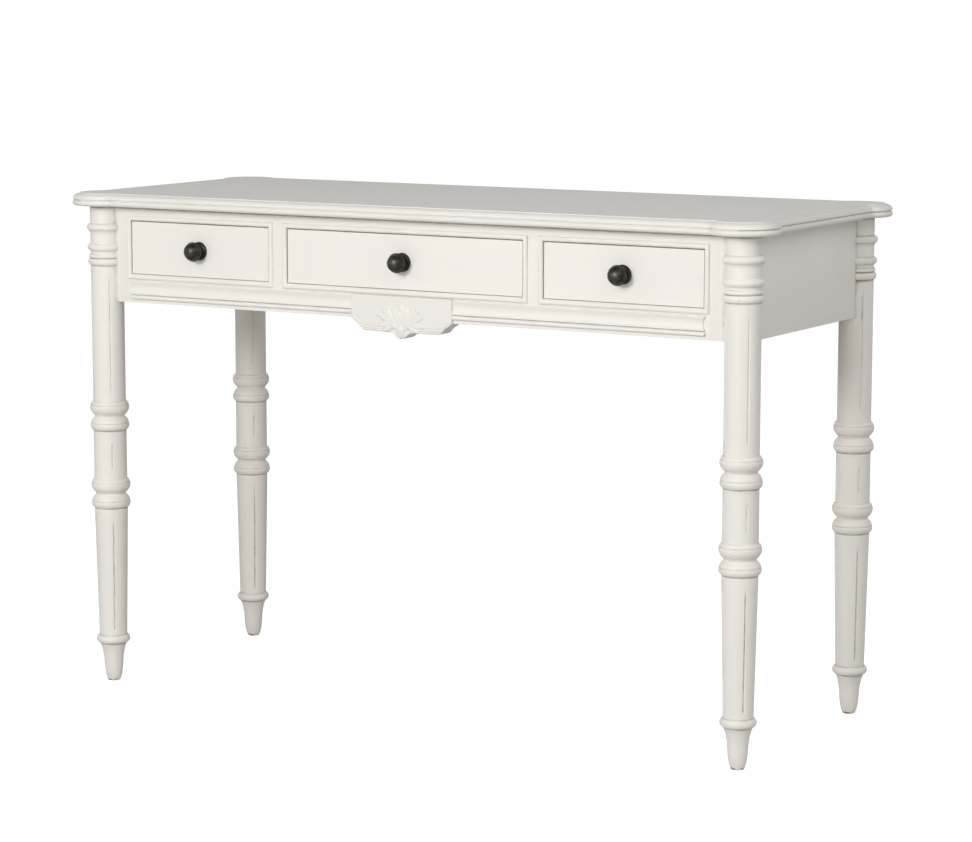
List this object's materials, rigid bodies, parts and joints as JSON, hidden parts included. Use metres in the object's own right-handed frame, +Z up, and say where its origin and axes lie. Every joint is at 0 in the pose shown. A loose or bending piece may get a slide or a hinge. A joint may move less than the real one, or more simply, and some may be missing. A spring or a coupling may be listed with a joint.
{
  "type": "writing desk",
  "caption": "Ivory painted writing desk with turned fluted legs, a row of flush drawers with round knobs, and a carved panel under the middle drawer.",
  "frame": {"origin": "on the floor, midway between the four legs", "axes": "+X to the right along the desk, +Y towards the back, +Z up; the drawers open towards -Y"},
  "size_m": [1.1998, 0.4918, 0.775],
  "materials": {
    "top_paint": "satin ivory paint over wood, worn at the edges",
    "ivory_paint": "satin ivory paint over wood with brown glaze in the hollows",
    "bare_wood": "bare planed wood",
    "drawer_wood": "clear sealed wood",
    "knob_bronze": "dark bronzed, satin",
    "screw_steel": "plain"
  },
  "bodies": {
    "desk": {"top_board": "top_paint", "leg_front_left": "ivory_paint", "leg_front_right": "ivory_paint", "leg_back_left": "ivory_paint", "leg_back_right": "ivory_paint", "front_upper_rail": "ivory_paint", "front_lower_rail": "ivory_paint", "carved_plaque": "ivory_paint", "back_apron": "ivory_paint", "front_stile_left": "ivory_paint", "front_divider_left": "ivory_paint", "side_apron_left": "ivory_paint", "rail_moulding_left": "ivory_paint", "front_stile_right": "ivory_paint", "front_divider_right": "ivory_paint", "side_apron_right": "ivory_paint", "rail_moulding_right": "ivory_paint", "bead_frame_left": "ivory_paint", "bead_frame_centre": "ivory_paint", "bead_frame_right": "ivory_paint", "outer_runner_left": "bare_wood", "centre_runner_left": "bare_wood", "outer_kicker_left": "bare_wood", "centre_kicker_left": "bare_wood", "outer_runner_right": "bare_wood", "centre_runner_right": "bare_wood", "outer_kicker_right": "bare_wood", "centre_kicker_right": "bare_wood", "corner_block_front_left": "bare_wood", "corner_block_front_right": "bare_wood", "corner_block_back_left": "bare_wood", "corner_block_back_right": "bare_wood", "drawer_stop_left": "bare_wood", "drawer_stop_centre": "bare_wood", "drawer_stop_right": "bare_wood", "top_screws": "screw_steel"},
    "drawer_left": {"drawer_left_front": "ivory_paint", "drawer_left_side_left": "drawer_wood", "drawer_left_side_right": "drawer_wood", "drawer_left_back": "drawer_wood", "drawer_left_bottom": "drawer_wood", "drawer_left_knob": "knob_bronze", "drawer_left_knob_screw": "screw_steel"},
    "drawer_centre": {"drawer_centre_front": "ivory_paint", "drawer_centre_side_left": "drawer_wood", "drawer_centre_side_right": "drawer_wood", "drawer_centre_back": "drawer_wood", "drawer_centre_bottom": "drawer_wood", "drawer_centre_knob": "knob_bronze", "drawer_centre_knob_screw": "screw_steel"},
    "drawer_right": {"drawer_right_front": "ivory_paint", "drawer_right_side_left": "drawer_wood", "drawer_right_side_right": "drawer_wood", "drawer_right_back": "drawer_wood", "drawer_right_bottom": "drawer_wood", "drawer_right_knob": "knob_bronze", "drawer_right_knob_screw": "screw_steel"}
  },
  "joints": [
    {"name": "drawer_left_slide", "type": "slide", "parent": "desk", "child": "drawer_left", "axis": [0, -1, 0], "range_m": [0, 0.27]},
    {"name": "drawer_centre_slide", "type": "slide", "parent": "desk", "child": "drawer_centre", "axis": [0, -1, 0], "range_m": [0, 0.27]},
    {"name": "drawer_right_slide", "type": "slide", "parent": "desk", "child": "drawer_right", "axis": [0, -1, 0], "range_m": [0, 0.27]}
  ]
}
